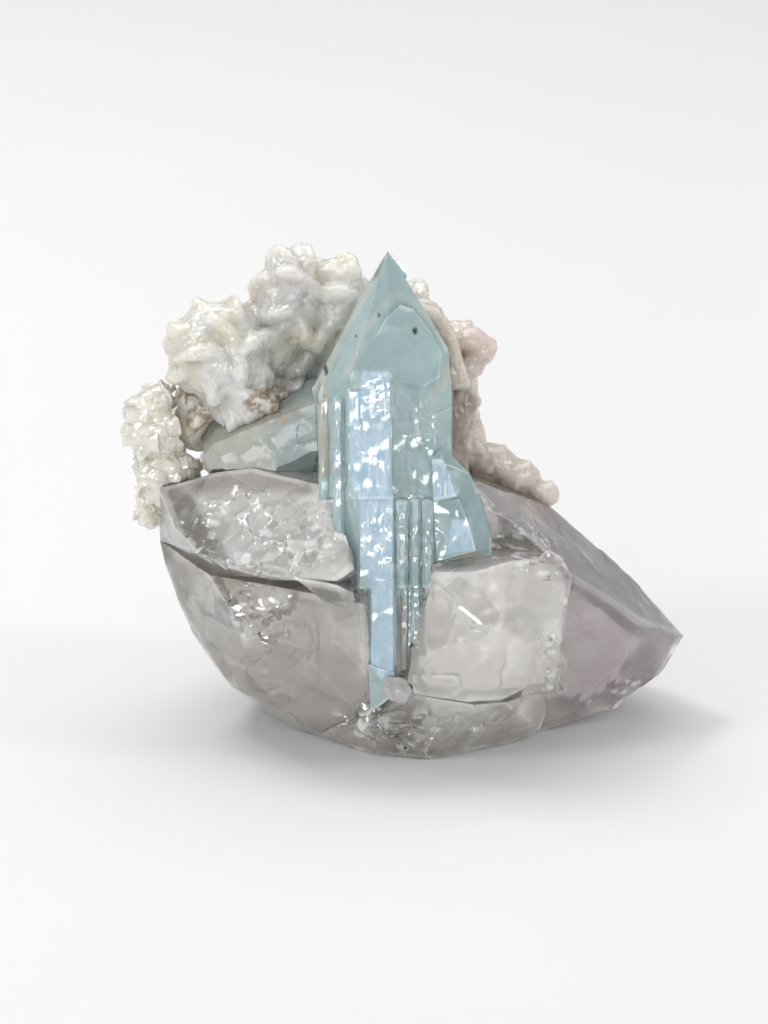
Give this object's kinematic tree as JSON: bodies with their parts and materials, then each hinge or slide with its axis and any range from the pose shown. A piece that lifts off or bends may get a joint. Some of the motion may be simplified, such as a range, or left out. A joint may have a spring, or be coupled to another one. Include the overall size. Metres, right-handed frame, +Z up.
{
  "type": "aquamarine crystal specimen on quartz",
  "caption": "Pointed blue beryl crystal standing in a broken lilac-grey quartz crystal with white bladed feldspar rosettes, resting on its base.",
  "frame": {"origin": "under the middle of the whole specimen's box, on the surface it rests on", "axes": "+Z up, +X along the specimen's width towards the quartz point, -Y the display side with the beryl's column faces"},
  "size_m": [0.0664, 0.0342, 0.0571],
  "materials": {
    "aquamarine": "gloss",
    "grey_aquamarine": "gloss",
    "quartz": "gloss",
    "albite": "satin",
    "clear_albite": "gloss"
  },
  "bodies": {
    "root": {"aquamarine_crystal": "aquamarine", "aquamarine_side_crystal": "grey_aquamarine", "quartz_matrix": "quartz", "albite_rosettes": "albite", "albite_cluster": "clear_albite"}
  },
  "joints": []
}
